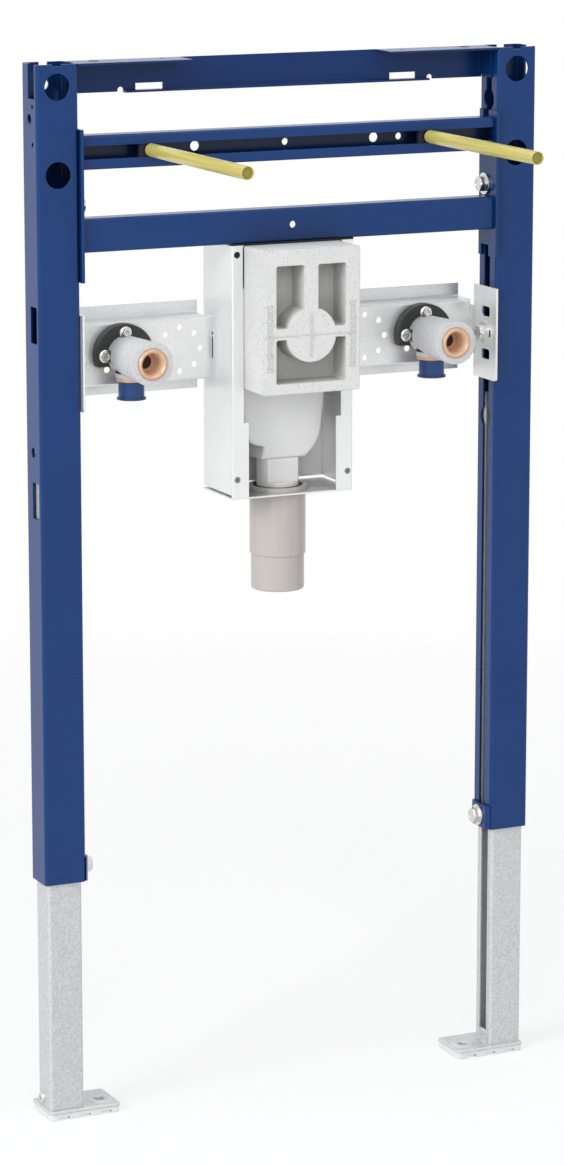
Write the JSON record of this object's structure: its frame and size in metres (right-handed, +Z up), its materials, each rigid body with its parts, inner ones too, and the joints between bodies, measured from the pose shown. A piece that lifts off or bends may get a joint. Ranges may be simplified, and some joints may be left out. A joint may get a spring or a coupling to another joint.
{
  "type": "basin installation frame",
  "caption": "Blue steel wall frame for a hand basin, with telescopic legs, fixing rods in sleeves, tap elbows, and a trap box with a foam plug over the waste pipe.",
  "frame": {"origin": "on the floor, midway between the two feet and at the posts' mid-depth", "axes": "+Z up, +X to the right seen from the front, +Y towards the wall behind"},
  "size_m": [0.5, 0.276, 0.977],
  "materials": {
    "blue_paint": "satin",
    "galvanised_steel": "satin",
    "bright_sheet": "satin",
    "plated_steel": "gloss",
    "yellow_plastic": "gloss",
    "black_rubber": "matte",
    "red_brass": "satin",
    "grey_foam": "matte",
    "blue_plastic": "satin",
    "white_foam": "matte",
    "white_plastic": "satin",
    "beige_plastic": "satin"
  },
  "bodies": {
    "feet": {"left_leg": "galvanised_steel", "right_leg": "galvanised_steel", "left_foot_plate": "galvanised_steel", "right_foot_plate": "galvanised_steel", "left_foot_pad": "white_plastic", "right_foot_pad": "white_plastic"},
    "frame": {"fixing_rail": "blue_paint", "foam_plug": "white_foam", "left_bracket_bolt": "plated_steel", "left_clamp_bolt": "plated_steel", "left_end_plate": "blue_paint", "left_end_plate_bolt": "plated_steel", "left_insulation_sleeve": "grey_foam", "left_leg_clamp": "blue_paint", "left_post": "blue_paint", "left_rod": "plated_steel", "left_rod_sleeve": "yellow_plastic", "left_tap_bracket": "bright_sheet", "left_tap_cap": "blue_plastic", "left_tap_disc": "black_rubber", "left_tap_elbow": "red_brass", "left_tap_rail": "bright_sheet", "lower_rail": "blue_paint", "pipe_seal": "black_rubber", "right_bracket_bolt": "plated_steel", "right_clamp_bolt": "plated_steel", "right_end_plate": "blue_paint", "right_end_plate_bolt": "plated_steel", "right_insulation_sleeve": "grey_foam", "right_leg_clamp": "blue_paint", "right_post": "blue_paint", "right_rod": "plated_steel", "right_rod_sleeve": "yellow_plastic", "right_tap_bracket": "bright_sheet", "right_tap_cap": "blue_plastic", "right_tap_disc": "black_rubber", "right_tap_elbow": "red_brass", "right_tap_rail": "bright_sheet", "top_rail": "blue_paint", "trap_body": "white_plastic", "trap_box": "bright_sheet", "trap_box_floor": "bright_sheet", "trap_box_top": "bright_sheet", "trap_outlet": "white_plastic", "waste_pipe": "beige_plastic"}
  },
  "joints": [
    {"name": "height_slide", "type": "slide", "parent": "feet", "child": "frame", "axis": [0, 0, 1], "range_m": [-0.2, 0]}
  ]
}
